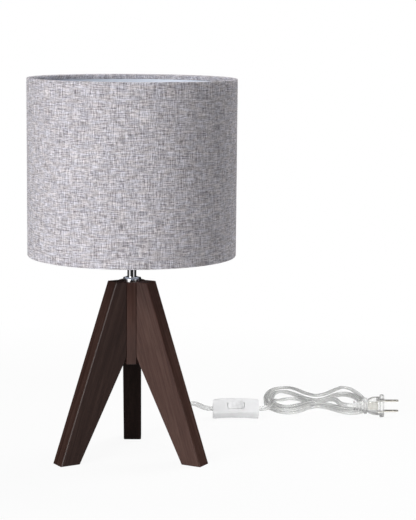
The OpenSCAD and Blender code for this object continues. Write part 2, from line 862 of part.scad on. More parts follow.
// The rocker's ends are arcs round its pin, so its gap to the bay stays the same
module switch_rocker() {
    crest = 4;
    dip = 2.8;
    skirt = 2.4;
    skirt_x = rocker_r / 2;
    color("#fafbfc")
        in_switch_place()
            translate([0, 0, pin_z])
                rotate([0, -rocker_swing / 2, 0])
                    difference() {
                        intersection() {
                            rotate([90, 0, 0])
                                translate([0, 0, -rocker_w / 2])
                                    linear_extrude(rocker_w)
                                        intersection() {
                                            circle(r = rocker_r, $fn = 180);
                                            polygon([
                                                [-rocker_r, crest], [-rocker_r / 2, dip + 0.3],
                                                [0, dip], [rocker_r / 2, dip + 0.3],
                                                [rocker_r, crest], [rocker_r, 0],
                                                [skirt_x, -skirt], [-skirt_x, -skirt],
                                                [-rocker_r, 0]
                                            ]);
                                        }
                            translate([0, 0, -rocker_r])
                                linear_extrude(rocker_l)
                                    polygon(rounded_outline(rocker_l, rocker_w, rocker_corner));
                        }
                        translate([0, rocker_w, 0])
                            rotate([90, 0, 0])
                                cylinder(d = pin_d + 2 * running, h = 2 * rocker_w, $fn = 48);
                    }
}

module rocker_pin() {
    color("#b9bcc2")
        in_switch_place()
            translate([0, pin_l / 2, pin_z])
                rotate([90, 0, 0])
                    cylinder(d = pin_d, h = pin_l, $fn = 48);
}

module switch_terminals() {
    color("#c9a24a")
        in_switch_place()
            for (x = [-1, 1])
                translate([x * terminal_x, 0, (terminal_size[2] - cavity_h) / 2])
                    difference() {
                        cube(terminal_size, center = true);
                        rotate([0, 90, 0])
                            cylinder(d = 1.8, h = 2 * terminal_size[0], center = true, $fn = 24);
                    }
}

module contact_strip() {
    floor_z = -cavity_h / 2;
    span = terminal_x - terminal_size[0] / 2 - 0.5;
    color("#c9a24a")
        in_switch_place()
            rotate([90, 0, 0])
                translate([0, 0, -1.5])
                    linear_extrude(3)
                        polygon([
                            [-span, floor_z], [-3, floor_z], [0, floor_z + 1.2], [3, floor_z],
                            [span, floor_z], [span, floor_z + 0.5], [3.2, floor_z + 0.5],
                            [0, floor_z + 1.8], [-3.2, floor_z + 0.5], [-span, floor_z + 0.5]
                        ]);
}

module switch_screws() {
    head_z = screw_seat - screw_head_h;
    color("#b9bcc2")
        in_switch_place()
            for (s = screw_at)
                translate([s[0], s[1], 0])
                    rotate_extrude($fn = 32)
                        polygon([
                            [0, head_z], [screw_head_r - 0.3, head_z],
                            [screw_head_r, head_z + 0.4], [screw_head_r, screw_seat],
                            [screw_r, screw_seat], [screw_r, screw_tip - 0.6], [0, screw_tip]
                        ]);
}

// ---- Plug, drawn along +X from the cord's end ----

// Stations of the plug's body along X, each with its half height and half depth: the
// ribbed strain relief, the collar, the bell, and the flange
rib_count = 3;
rib_pitch = (relief_l - 1.6) / rib_count;
rib_groove = 1.3;
relief_half = [6, 4.4];
collar_half = [9.8, 7];
plug_waist = [7, 5.2];
bell_half = [11.4, 7.8];
rim = 0.8;
plug_stations = concat(
    [[0, relief_half[0] - rim, relief_half[1] - rim], [0.6, relief_half[0], relief_half[1]]],
    [for (k = [0 : rib_count - 1], edge = [[0.6, 0], [0.9, rib_groove], [2.3, rib_groove], [2.6, 0]])
        [1.2 + k * rib_pitch + edge[0], relief_half[0] + 0.25 * k - edge[1],
            relief_half[1] + 0.2 * k - edge[1]]],
    [[neck_x - 0.2, plug_waist[0], plug_waist[1]],
        [neck_x + 0.4, collar_half[0] - 1, collar_half[1] - rim],
        [neck_x + 1.2, collar_half[0], collar_half[1]],
        [bell_x - 1.2, collar_half[0], collar_half[1]],
        [bell_x - 0.4, collar_half[0] - 1, collar_half[1] - rim],
        [bell_x, plug_waist[0], plug_waist[1]]],
    [for (a = [15 : 15 : 90])
        [bell_x + (bell_l - 3) * (1 - cos(a)),
            plug_waist[0] + (bell_half[0] - plug_waist[0]) * sin(a),
            plug_waist[1] + (bell_half[1] - plug_waist[1]) * sin(a)]],
    [[flange_x - 0.2, bell_half[0], bell_half[1]],
        [flange_x, plug_h / 2 - rim, plug_depth / 2 - rim],
        [flange_x + rim, plug_h / 2, plug_depth / 2],
        [plug_l - rim, plug_h / 2, plug_depth / 2],
        [plug_l, plug_h / 2 - rim, plug_depth / 2 - rim]]
);
plug_sides = 32;

// Squarish oval ring at a station
function plug_ring(s) = [
    for (j = [0 : plug_sides - 1])
        let (a = j * 360 / plug_sides, c = cos(a), t = sin(a), p = 0.8)
        [s[0], s[2] * sign(c) * pow(abs(c), p), s[1] * sign(t) * pow(abs(t), p)]
];

module in_plug_place() {
    translate([plug_x, plug_y, plug_z])
        children();
}

module blade_pockets(clearance) {
    for (z = [-1, 1])
        translate([plug_l - blade_root, -blade_w / 2 - clearance,
            z * blade_pitch / 2 - blade_t / 2 - clearance])
            cube([blade_root + 1, blade_w + 2 * clearance, blade_t + 2 * clearance]);
}

module plug_body() {
    color("#dfe3e0")
        in_plug_place()
            difference() {
                skin([for (s = plug_stations) plug_ring(s)]);
                blade_pockets(0.05);
            }
}

module plug_blades() {
    tip = 1.6;
    hole_at = 11.7;
    root = plug_l - blade_root + 0.05;
    end = plug_l + blade_l;
    color("#c9b06a")
        in_plug_place()
            for (z = [-1, 1])
                translate([0, 0, z * blade_pitch / 2 - blade_t / 2])
                    difference() {
                        linear_extrude(blade_t)
                            polygon([
                                [root, -blade_w / 2], [end - tip, -blade_w / 2],
                                [end, -blade_w / 2 + tip], [end, blade_w / 2 - tip],
                                [end - tip, blade_w / 2], [root, blade_w / 2]
                            ]);
                        translate([plug_l + hole_at, 0, -1])
                            cylinder(d = 3.1, h = blade_t + 2, $fn = 32);
                    }
}

leg_front_right();
leg_front_left();
leg_back();
leg_dowels();
center_post();
neck_tube();
neck_collar();
post_washer();
post_nut();
cord_bushing();
inner_cord();
holder_cap();
holder_body();
holder_core();
screw_shell();
center_contact();
shade_clamp_ring();
shade_fitter();
shade_top_ring();
shade_lining();
shade_cloth();
cord_lamp_to_switch();
switch_base();
switch_cover();
switch_rocker();
rocker_pin();
switch_terminals();
contact_strip();
switch_screws();
cord_switch_to_hank();
cord_hank();
cord_hank_to_plug();
plug_body();
plug_blades();
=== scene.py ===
"""A small tripod table lamp: its cloth drum, stained legs, plated neck, clear cord, switch and plug."""

import math

import bmesh
import bpy
from bpy.props import FloatProperty, FloatVectorProperty, IntProperty, PointerProperty
from mathutils import Color, Matrix, Vector, noise


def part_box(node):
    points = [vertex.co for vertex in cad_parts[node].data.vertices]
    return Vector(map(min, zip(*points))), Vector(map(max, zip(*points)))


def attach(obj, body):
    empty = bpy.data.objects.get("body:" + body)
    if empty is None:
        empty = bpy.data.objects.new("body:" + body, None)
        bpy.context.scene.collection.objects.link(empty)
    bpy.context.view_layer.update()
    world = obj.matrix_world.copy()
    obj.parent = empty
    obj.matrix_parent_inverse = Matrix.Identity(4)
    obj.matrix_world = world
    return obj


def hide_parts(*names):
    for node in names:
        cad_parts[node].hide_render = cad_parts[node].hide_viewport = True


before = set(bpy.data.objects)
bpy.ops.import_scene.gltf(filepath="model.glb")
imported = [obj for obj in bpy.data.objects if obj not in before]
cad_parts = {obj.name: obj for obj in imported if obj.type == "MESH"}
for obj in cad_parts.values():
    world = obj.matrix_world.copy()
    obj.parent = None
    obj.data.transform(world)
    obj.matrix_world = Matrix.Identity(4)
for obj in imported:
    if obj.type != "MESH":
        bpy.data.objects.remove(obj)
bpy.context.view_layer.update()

bl_info = {
    "name": "Tripod table lamp",
    "version": (1, 0, 0),
    "blender": (4, 5, 0),
    "location": "3D View > Sidebar > Lamp",
    "description": "Makes the shade, the wood, the clear cord, the switch and the plug of a small lamp",
    "category": "Object",
}

MM = 0.001

# The body that every new piece rides on
LAMP = "lamp"

# Camera: its place, the ways that it looks and that its picture's top points, and its lens and
# sensor in millimetres
CAMERA_PLACE = (0.02979, -1.88738, 0.49286)
CAMERA_FORWARD = (0.02818, 0.98929, -0.14318)
CAMERA_UP = (-0.00474, 0.14337, 0.98966)
CAMERA_LENS = 120.22
CAMERA_SENSOR = 36.0

# Legs: how far they run outwards over their rise, and for each its angle round the post, how
# light its stain is painted, and where in the grain it was cut. That lightness is painted light
# and shade: the front right leg is painted lighter as if lit, the front left one darker, and the
# back one much darker as if in shade.
LEG_RUN, LEG_RISE = 63 * MM, 197 * MM
LEGS = {
    "leg_front_right": (-30, 1.12, 0.13),
    "leg_front_left": (210, 0.62, 0.57),
    "leg_back": (90, 0.22, 0.91),
}

# Shade: its lining, the wires in its hems, and the clearance between its layers
LINING_T = 0.6 * MM
WIRE_RING_R = 1.3 * MM
SLIP = 0.1 * MM

# Drum of cloth: its columns and rows, its turn round a wire in degrees, where the hem lies flat
# above that turn, and the share of the cloth's thickness that keeps it clear of the lining
DRUM_COLUMNS = 256
WALL_ROWS = 34
TURN_ROWS = 8
TURN_START, TURN_SWEEP = 195, 75
HEM_FLAT = 0.6 * MM
CLEAR_SHARE = 0.9

# Lower rim of the drum, which the upper one mirrors: how far in from the wall, how far up from
# the edge, and what share it has of the wall's unevenness
RIM = ((1.2 * MM, 0.0, 0.0), (0.4 * MM, 0.25 * MM, 0.2), (0.05 * MM, 1.0 * MM, 0.5))

# Back seam: its angle round the drum, how far the outer end stands proud, and how many overlaps
# before its end it starts to rise
SEAM_ANGLE = 90
SEAM_LIFT = 0.35 * MM
SEAM_RISE = 2.2

# Unevenness of the wall: its depth, its units to a metre of height, of which the drum's radius
# is about one, and its fineness
RIPPLE_DEPTH = 0.12 * MM
RIPPLE_HEIGHT = 9
RIPPLE_SCALE = 3.0

# Flat twin cord: two lobes, each an arc of LOBE_SWEEP degrees, with a groove between them and a
# conductor in each, and how far apart the rings of its mesh are
CORD_W = 6.2 * MM
CORD_T = 3.1 * MM
LOBE_R = CORD_T / 2
LOBE_X = CORD_W / 2 - LOBE_R
LOBE_SWEEP = 144
GROOVE_HALF = 0.62 * LOBE_R
WIRE_R = 0.6 * MM
WIRE_SIDES = 8
RING_STEP = 1.5 * MM

# Bushing in the post: its angle round it, its height, and the cord's points straight out of it
BUSHING_ANGLE = 30.0
BUSHING_Z = 0.1097
BUSHING_REACH = (0.011, 0.024, 0.037)

# The cord's points: its centre, the way that its wide side points, and how far that side leans up
LAMP_TO_SWITCH = (
    (0.04, 0.023, 0.106, 122, 0), (0.047, 0.027, 0.098, 125, 0), (0.052, 0.03, 0.086, 130, 0),
    (0.054, 0.032, 0.072, 140, 0), (0.055, 0.033, 0.058, 150, 0), (0.056, 0.035, 0.044, 160, 0),
    (0.057, 0.038, 0.031, 168, 0), (0.058, 0.044, 0.019, 174, 0), (0.059, 0.054, 0.0095, 180, 0),
    (0.059, 0.067, 0.0035, 182, 0), (0.058, 0.081, 0.0017, 185, 0), (0.056, 0.096, 0.0016, 186, 0),
    (0.054, 0.112, 0.0016, 187, 0), (0.052, 0.128, 0.0016, 187, 0), (0.05, 0.144, 0.0016, 187, 0),
    (0.0485, 0.158, 0.0016, 185, 0), (0.0475, 0.171, 0.0019, 180, 5),
    (0.048, 0.183, 0.0032, 170, 12), (0.0515, 0.1935, 0.0056, 150, 20),
    (0.0575, 0.2005, 0.0088, 130, 28), (0.0645, 0.203, 0.0112, 100, 36),
    (0.0705, 0.201, 0.0123, 75, 42), (0.075, 0.1965, 0.0128, 50, 45),
    (0.0786, 0.1908, 0.0129, 36, 48), (0.0818, 0.1848, 0.0127, 32, 50),
    (0.0848, 0.1796, 0.0125, 38, 50), (0.0884, 0.176, 0.0124, 60, 48),
    (0.0924, 0.1745, 0.0123, 85, 45), (0.096, 0.1745, 0.0123, 90, 45),
)
SWITCH_TO_HANK = (
    (0.152, 0.1745, 0.0123, 90, 45), (0.1555, 0.1745, 0.0123, 90, 45),
    (0.1595, 0.1758, 0.0125, 105, 45), (0.163, 0.1794, 0.0129, 125, 42),
    (0.1658, 0.186, 0.0132, 145, 36), (0.168, 0.196, 0.0132, 155, 30), (0.17, 0.208, 0.0124, 165, 22),
    (0.172, 0.219, 0.0114, 170, 14), (0.1752, 0.231, 0.0098, 172, 8), (0.1786, 0.243, 0.0073, 170, 4),
    (0.1818, 0.2545, 0.0044, 165, 0), (0.1856, 0.265, 0.0023, 155, 0), (0.191, 0.2726, 0.0016, 130, 0),
    (0.1985, 0.276, 0.0016, 100, 0), (0.2058, 0.2732, 0.0016, 70, 0), (0.2115, 0.2658, 0.0016, 45, 0),
    (0.2162, 0.2574, 0.0016, 30, 0), (0.2196, 0.2496, 0.0016, 35, 0), (0.222, 0.244, 0.0016, 60, 0),
    (0.2255, 0.2406, 0.0016, 80, 0), (0.229, 0.2406, 0.0016, 90, 0),
)
HANK_TO_PLUG = (
    (0.229, 0.2453, 0.0052, 90, 0), (0.233, 0.2453, 0.0052, 90, 0), (0.237, 0.2451, 0.0058, 88, 5),
    (0.243, 0.2432, 0.0076, 70, 15), (0.248, 0.2375, 0.0094, 40, 30), (0.251, 0.228, 0.0108, 15, 45),
    (0.2525, 0.217, 0.0114, 5, 60), (0.2535, 0.206, 0.012, 8, 75), (0.2555, 0.1955, 0.0128, 15, 85),
    (0.2585, 0.188, 0.0134, 30, 90), (0.262, 0.184, 0.0139, 60, 90), (0.2655, 0.183, 0.014, 90, 90),
    (0.268, 0.183, 0.014, 90, 90),
)

# Hank: three loops drawn in at the waist, in two layers, with one high loop at the right. The
# spiral turns back after TURN_BACK loops, and the high loop lasts from there to HIGH_END.
HANK_CENTRE = (0.229, 0.247)
HANK_LOOPS = 3
HANK_RINGS = 36
TURN_BACK = 1.25
HIGH_END = 1.5

# Its innermost loop: half its length towards the plug and the switch, and its lobes' depths
HALF_RIGHT, HALF_LEFT = 0.055, 0.058
DEPTH_FRONT, DEPTH_BACK_LEFT, DEPTH_BACK_RIGHT, DEPTH_HIGH = 0.066, 0.106, 0.084, 0.128

# Steps from loop to loop at the ends, the lobes and the waist
STEP_END, STEP_DEPTH, STEP_WAIST = 0.0072, 0.011, 0.0094

# Waist: half its width, how far along the hank it narrows the loops and how much less in each
# next loop, and how far it narrows the high loop
WAIST_HALF, WAIST_REACH, WAIST_STEP, HIGH_REACH = 0.0064, 0.035, 0.004, 0.046

# Heights of the hank's two layers and of the hump over them. The hump starts after HUMP_UP loops
# and ends after HUMP_DOWN, and the climb to the upper layer starts where the spiral turns back.
# Each run is the part of a loop that a slope takes.
LAYER_LOW, LAYER_TOP, LAYER_OVER = 0.0016, 0.0052, 0.0089
HUMP_UP, HUMP_UP_RUN = 1.3, 0.1
HUMP_DOWN, HUMP_DOWN_RUN = 1.62, 0.08
CLIMB_RUN = 0.15

# Plug: where its inner carrier starts along the body, half the carrier's width and height, its
# corners, and its rings in millimetres: how far along, and how far in
CARRIER_START = 18.6 * MM
CARRIER_HALF = (3.4 * MM, 4.3 * MM)
CARRIER_CORNER = 1.2 * MM
CORNER_STEPS = 4
CARRIER_RINGS = ((0, 0.8), (0.6, 0), (3, 0), (3.3, 0.7), (4.3, 0.7), (4.6, 0), (11, 0), (11.6, 0.8))

# Angles in degrees over which an edge stays sharp, and over which one is softened
SHARP_CORD, SHARP_CLOTH, SHARP_PLUG = 60, 70, 35
SOFTENED = 40

# Floor: its radius and sides, how far it lies under the feet, and its share of plain white,
# which grows outwards between two radii
FLOOR_REACH = 0.85
FLOOR_SIDES = 96
FLOOR_DROP = 0.02 * MM
FLOOR_WHITE = (0.92, 1.0)
FLOOR_WHITE_REACH = (0.5 * FLOOR_REACH, 0.97 * FLOOR_REACH)

# Lights: where each stands and what it points at, the size of a softbox, and the spot's cone in
# degrees, its soft edge and its size
KEY_PLACE, KEY_AIM, KEY_SIZE = (-1.14, -1.44, 0.75), (0.0, 0.0, 0.25), 1.1
RIM_PLACE, RIM_AIM, RIM_SIZE = (0.9, 0.65, 1.25), (0.0, 0.0, 0.3), 0.6
TOP_PLACE, TOP_AIM, TOP_SIZE = (0.12, 0.1, 1.6), (0.12, 0.1, 0.0), 0.7
SPOT_PLACE, SPOT_AIM, SPOT_CONE = (0.55, -1.0, 0.25), (0.215, 0.2, 0.02), 19
SPOT_EDGE, SPOT_SIZE = 0.4, 0.12

# Studio that only gloss sees: its level from each bearing on, in degrees to the right of front
STUDIO_PANELS = ((-180, 0.03), (-74, 1.0), (-37, 0.03), (39, 0.9), (63, 0.03))

# Sockets of Blender's Mix node: the factor, both ends and the result, for colours and for numbers
MIX_COLOURS = ((0, 6, 7), 2)
MIX_NUMBERS = ((0, 2, 3), 0)


# ---- Settings ----

def colour(name, default, description):
    """A colour that a user may change."""
    return FloatVectorProperty(name=name, description=description, subtype="COLOR", size=3,
                               min=0.0, max=1.0, default=default)


def length(name, default, description):
    """A length in metres that a user may change."""
    return FloatProperty(name=name, description=description, default=default, min=0.0,
                         subtype="DISTANCE", unit="LENGTH", precision=4)


def power(name, default, description):
    """A light's power in watts that a user may change."""
    return FloatProperty(name=name, description=description, default=default, min=0.0, max=500.0,
                         subtype="POWER")


class ShadeSettings(bpy.types.PropertyGroup):
    """Colours of the cloth and the lining, and how the cloth is cut and turned in"""
    cloth: colour("Cloth", (0.525, 0.498, 0.545), "Middle colour of the yarns")
    cloth_light: colour("Light yarn", (0.88, 0.85, 0.905), "Colour of the palest yarns")
    cloth_dark: colour("Dark yarn", (0.185, 0.168, 0.184), "Colour of the darkest yarns")
    lining: colour("Lining", (0.78, 0.83, 0.92), "Colour of the stiff lining")
    thickness: length("Cloth thickness", 0.8 * MM, "Thickness of the cloth")
    hem: length("Hem", 1.2 * MM, "Cloth turned in past a wire ring")
    overlap: length("Seam overlap", 9 * MM, "How far the cloth's ends overlap at the back")


class WoodSettings(bpy.types.PropertyGroup):
    """Stain and grain of the legs and the post"""
    stain: colour("Stain", (0.060, 0.031, 0.025), "Middle colour of the stained wood")
    stain_dark: colour("Dark grain", (0.042, 0.021, 0.017), "Colour of the dark grain")
    stain_light: colour("Light grain", (0.083, 0.047, 0.038), "Colour of the light grain")
    grain_scale: FloatProperty(name="Grain scale", default=420.0, min=50.0, max=2000.0,
                               description="Fine streaks across the grain, per metre")


class CordSettings(bpy.types.PropertyGroup):
    """Colours of the clear cord and plug, and how round the cord is"""
    vinyl: colour("Vinyl", (0.985, 0.988, 0.985), "Tint of the clear vinyl")
    wire: colour("Wire", (0.88, 0.88, 0.87), "Colour of the tinned conductors")
    sides: IntProperty(name="Sides of a lobe", description="Points round each half of the cord",
                       default=9, min=5, max=24)


class SwitchSettings(bpy.types.PropertyGroup):
    """Colours of the inline switch"""
    body: colour("Housing", (0.82, 0.82, 0.825), "Colour of the switch housing")
    rocker: colour("Rocker", (0.84, 0.84, 0.845), "Colour of the rocker")


class StageSettings(bpy.types.PropertyGroup):
    """Floor, surroundings and lights"""
    floor: colour("Floor", (0.84, 0.84, 0.84), "Colour of the floor")
    key_power: power("Key light", 32.0, "Power of the softbox at the left")
    rim_power: power("Rim light", 9.0, "Power of the softbox at the right rear")
    top_power: power("Top light", 6.0, "Power of the softbox overhead")
    cord_power: power("Cord light", 28.0, "Power of the soft spot on the switch and cord")
    world: FloatProperty(name="Surroundings", description="Light level of the white surroundings",
                         default=0.17, min=0.0, max=2.0)


# ---- Materials ----

class Nodes:
    """A node tree, and short ways to add to it."""

    def __init__(self, tree):
        self.tree = tree

    def node(self, kind, **settings):
        """A new node, with its own settings."""
        made = self.tree.nodes.new(kind)
        for key, value in settings.items():
            setattr(made, key, value)
        return made

    def link(self, source, target):
        """Leads an output to an input."""
        self.tree.links.new(source, target)

    def feed(self, value, target):
        """Gives an input its number or colour, or leads an output to it."""
        if isinstance(value, (int, float)):
            target.default_value = value
        elif isinstance(value, (tuple, Color)):
            target.default_value = (*value, 1.0)
        else:
            self.link(value, target)

    def coordinates(self, source=None, scale=(1, 1, 1), turn=(0, 0, 0), move=(0, 0, 0)):
        """Source, or else the object's own coordinates, scaled, then turned, then moved."""
        if source is None:
            source = self.node("ShaderNodeTexCoord").outputs["Object"]
        mapping = self.node("ShaderNodeMapping")
        mapping.inputs["Scale"].default_value = scale
        mapping.inputs["Rotation"].default_value = turn
        mapping.inputs["Location"].default_value = move
        self.link(source, mapping.inputs["Vector"])
        return mapping.outputs["Vector"]

    def noise(self, vector, scale, detail=3.0, rough=0.5, distortion=0.0):
        """Soft noise, with about scale features to each unit of the vector."""
        made = self.node("ShaderNodeTexNoise")
        made.inputs["Scale"].default_value = scale
        made.inputs["Detail"].default_value = detail
        made.inputs["Roughness"].default_value = rough
        made.inputs["Distortion"].default_value = distortion
        self.link(vector, made.inputs["Vector"])
        return made.outputs["Fac"]

    def wave(self, vector, scale, direction, distortion, detail):
        """Even bands across one direction."""
        made = self.node("ShaderNodeTexWave", wave_type="BANDS", bands_direction=direction)
        made.inputs["Scale"].default_value = scale
        made.inputs["Distortion"].default_value = distortion
        made.inputs["Detail"].default_value = detail
        self.link(vector, made.inputs["Vector"])
        return made.outputs["Fac"]

    def combine(self, operation, *values):
        """One step of arithmetic on numbers and outputs."""
        made = self.node("ShaderNodeMath", operation=operation)
        for value, target in zip(values, made.inputs):
            self.feed(value, target)
        return made.outputs[0]

    def spread(self, value, low, high, to_low=0.0, to_high=1.0):
        """Value from low..high to to_low..to_high, held at both ends."""
        made = self.node("ShaderNodeMapRange")
        for index, number in enumerate((low, high, to_low, to_high)):
            made.inputs[index + 1].default_value = number
        self.link(value, made.inputs["Value"])
        return made.outputs["Result"]

    def ramp(self, value, *stops, interpolation="LINEAR"):
        """Colours along value, from stops of a position and a colour."""
        made = self.node("ShaderNodeValToRGB")
        made.color_ramp.interpolation = interpolation
        elements = made.color_ramp.elements
        while len(elements) < len(stops):
            elements.new(0.5)
        for element, (position, tint) in zip(elements, stops):
            element.position = position
            element.color = (*tint, 1.0)
        self.link(value, made.inputs["Fac"])
        return made.outputs["Color"]

    def mix(self, factor, a, b, blend="MIX"):
        """Colour a, with b over it by factor."""
        made = self.node("ShaderNodeMix", data_type="RGBA", blend_type=blend)
        return self.mixed(made, (factor, a, b), MIX_COLOURS)

    def mix_numbers(self, factor, a, b):
        """Number between a and b by factor."""
        made = self.node("ShaderNodeMix", data_type="FLOAT")
        return self.mixed(made, (factor, a, b), MIX_NUMBERS)

    def mixed(self, made, values, sockets):
        """Feeds a Mix node, and gives its result."""
        inputs, result = sockets
        for value, index in zip(values, inputs):
            self.feed(value, made.inputs[index])
        return made.outputs[result]


class Recipe(Nodes):
    """A material's node tree, with a Principled shader at its end."""

    def __init__(self, name, **values):
        """Values are the shader's own sockets, with _ for a space in their names."""
        self.material = bpy.data.materials.new(name)
        self.material.use_nodes = True
        super().__init__(self.material.node_tree)
        self.tree.nodes.clear()
        self.output = self.node("ShaderNodeOutputMaterial")
        self.shader = self.node("ShaderNodeBsdfPrincipled")
        self.link(self.shader.outputs["BSDF"], self.output.inputs["Surface"])
        for socket, value in values.items():
            self.shader.inputs[socket.replace("_", " ")].default_value = value

    def bump(self, height, distance, strength):
        """Relief of the given depth in metres."""
        made = self.node("ShaderNodeBump")
        made.inputs["Strength"].default_value = strength
        made.inputs["Distance"].default_value = distance
        self.link(height, made.inputs["Height"])
        self.link(made.outputs["Normal"], self.shader.inputs["Normal"])

    def colour(self, value):
        """Leads value to the shader's colour."""
        self.link(value, self.shader.inputs["Base Color"])

    def rough(self, value):
        """Leads value to the shader's roughness."""
        self.link(value, self.shader.inputs["Roughness"])


def dimmed(tint, share):
    """A colour with share of its light."""
    return tuple(c * share for c in tint)


def stained_wood(name, angle, lean, stain_and_painted_shade, cut):
    """Dark stained wood whose grain leans outwards from the post at the given angle round it.

    The same recipe stains every board, and cut moves each to its own place in the grain. The
    fourth argument scales the stain, and the coat up to 1, to paint light and shade: boards that
    stand in shade are painted darker and less glossy."""
    wood = bpy.context.scene.lamp_wood
    dark = dimmed(wood.stain_dark, stain_and_painted_shade)
    middle = dimmed(wood.stain, stain_and_painted_shade)
    light = dimmed(wood.stain_light, stain_and_painted_shade)
    # Painted shade: the coat is weakened on boards painted darker, so that they reflect less
    recipe = Recipe(name, Roughness=0.5, Specular_IOR_Level=0.0,
                    Coat_Weight=0.34 * min(stain_and_painted_shade, 1.0), Coat_Roughness=0.12)
    upright = recipe.coordinates(turn=(0, 0, -math.radians(angle)))
    along = recipe.coordinates(upright, turn=(0, lean, 0))
    grain = recipe.coordinates(along, move=(cut, cut * 0.7, cut * 1.3))
    figure = recipe.noise(recipe.coordinates(grain, scale=(1, 1, 0.05)), 110,
                          detail=2, distortion=1.5)
    streak = recipe.noise(recipe.coordinates(grain, scale=(1, 1, 0.03)), wood.grain_scale,
                          detail=5, rough=0.65)
    pores = recipe.noise(recipe.coordinates(grain, scale=(1, 1, 0.045)), 1500, detail=2)
    tone = recipe.combine("ADD", recipe.combine("MULTIPLY", figure, 0.5),
                          recipe.combine("MULTIPLY", streak, 0.5))
    body = recipe.ramp(tone, (0.34, dark), (0.50, middle), (0.66, light))
    pore_mask = recipe.spread(pores, 0.56, 0.66)
    recipe.colour(recipe.mix(recipe.combine("MULTIPLY", pore_mask, 0.35), body, dimmed(dark, 0.6)))
    recipe.rough(recipe.spread(streak, 0.3, 0.7, 0.42, 0.62))
    relief = recipe.combine("SUBTRACT", recipe.combine("MULTIPLY", streak, 0.35), pore_mask)
    recipe.bump(relief, 0.12 * MM, 0.6)
    return recipe.material


def plain_wood(name):
    """Bare pale wood for dowels, with its grain along X."""
    recipe = Recipe(name, Roughness=0.7)
    grain = recipe.noise(recipe.coordinates(scale=(0.1, 1, 1)), 900, detail=4)
    recipe.colour(recipe.ramp(grain, (0.3, (0.40, 0.27, 0.14)), (0.7, (0.60, 0.44, 0.26))))
    recipe.bump(grain, 0.1 * MM, 0.4)
    return recipe.material


def metal(name, tint, roughness, grain=(1, 1, 1), metallic=1.0):
    """Metal whose fine scratches run along the axis with the small scale."""
    recipe = Recipe(name, Metallic=metallic)
    scratch = recipe.noise(recipe.coordinates(scale=grain), 900, rough=0.6)
    worn = recipe.noise(recipe.coordinates(), 60)
    recipe.colour(recipe.mix(worn, dimmed(tint, 0.86), tint))
    wear = recipe.combine("ADD", scratch, worn)
    recipe.rough(recipe.spread(wear, 0.7, 1.3, roughness * 0.75, roughness * 1.35))
    recipe.bump(scratch, 0.02 * MM, 0.5)
    return recipe.material


def moulded(name, tint, roughness, depth=0.03 * MM, **values):
    """Moulded plastic with a fine grain and slightly uneven gloss."""
    recipe = Recipe(name, **values)
    grain = recipe.noise(recipe.coordinates(), 2200, detail=2)
    cloud = recipe.noise(recipe.coordinates(), 120)
    recipe.colour(recipe.mix(recipe.spread(cloud, 0.35, 0.65), dimmed(tint, 0.965), tint))
    recipe.rough(recipe.spread(cloud, 0.3, 0.7, roughness * 0.88, roughness * 1.12))
    recipe.bump(grain, depth, 0.35)
    return recipe.material


def clear_vinyl(name, tint, roughness=0.1, transmission=0.85, ior=1.42, alpha=0.60):
    """Clear soft vinyl with faint flow marks and slightly uneven gloss."""
    recipe = Recipe(name, IOR=ior, Alpha=alpha, Transmission_Weight=transmission,
                    Coat_Weight=0.25, Coat_Roughness=0.12)
    cloud = recipe.noise(recipe.coordinates(), 260)
    flow = recipe.noise(recipe.coordinates(), 900, detail=2)
    recipe.colour(recipe.mix(recipe.spread(cloud, 0.3, 0.7), dimmed(tint, 0.97), tint))
    recipe.rough(recipe.spread(cloud, 0.3, 0.7, roughness * 0.8, roughness * 1.3))
    recipe.bump(flow, 0.05 * MM, 0.3)
    return recipe.material


def yarns(recipe, flat, upright):
    """Uneven yarns along one side of the cloth: the mean of threads of three lengths.

    Each thread has its own shrink along the yarn, and its own fineness across it."""
    threads = []
    for shrink, scale in ((0.035, 1250), (0.065, 1500), (0.12, 1750)):
        sides = (1, shrink, 1) if upright else (shrink, 1, 1)
        threads.append(recipe.noise(recipe.coordinates(flat, scale=sides), scale, detail=1))
    total = recipe.combine("ADD", recipe.combine("ADD", threads[0], threads[1]), threads[2])
    return recipe.spread(recipe.combine("DIVIDE", total, len(threads)), 0.4, 0.6)


def woven_cloth(name):
    """Heathered plain weave: uneven yarns both ways, drawn along the cloth's own UV in metres."""
    shade = bpy.context.scene.lamp_shade
    recipe = Recipe(name, Roughness=0.92, Sheen_Weight=0.12, Sheen_Roughness=0.5,
                    Specular_IOR_Level=0.2)
    flat = recipe.node("ShaderNodeTexCoord").outputs["UV"]
    weft = recipe.combine("MULTIPLY", yarns(recipe, flat, upright=False), 0.42)
    warp = recipe.combine("MULTIPLY", yarns(recipe, flat, upright=True), 0.38)
    both = recipe.combine("ADD", weft, warp)
    speck = recipe.spread(recipe.noise(flat, 1700, detail=1), 0.34, 0.66)
    cloud = recipe.noise(recipe.coordinates(flat), 22)
    tone = recipe.combine("ADD", both, recipe.combine("MULTIPLY", speck, 0.14))
    tone = recipe.combine("ADD", tone, recipe.combine("MULTIPLY", cloud, 0.06))
    body = recipe.ramp(tone, (0.22, shade.cloth_dark), (0.50, shade.cloth),
                       (0.77, shade.cloth_light))
    heather = recipe.noise(recipe.coordinates(flat, scale=(0.3, 1, 1)), 260, detail=2)
    cast = recipe.mix(recipe.spread(heather, 0.38, 0.62), (1.0, 0.985, 0.945), (0.965, 0.985, 1.0))
    recipe.colour(recipe.mix(1.0, body, cast, "MULTIPLY"))
    crossings = recipe.combine("MULTIPLY", recipe.wave(flat, 300, "X", 0.6, 1),
                               recipe.wave(flat, 300, "Y", 0.6, 1))
    relief = recipe.combine("ADD", crossings, recipe.combine("MULTIPLY", both, 1.4))
    recipe.bump(relief, 0.3 * MM, 0.8)
    return recipe.material


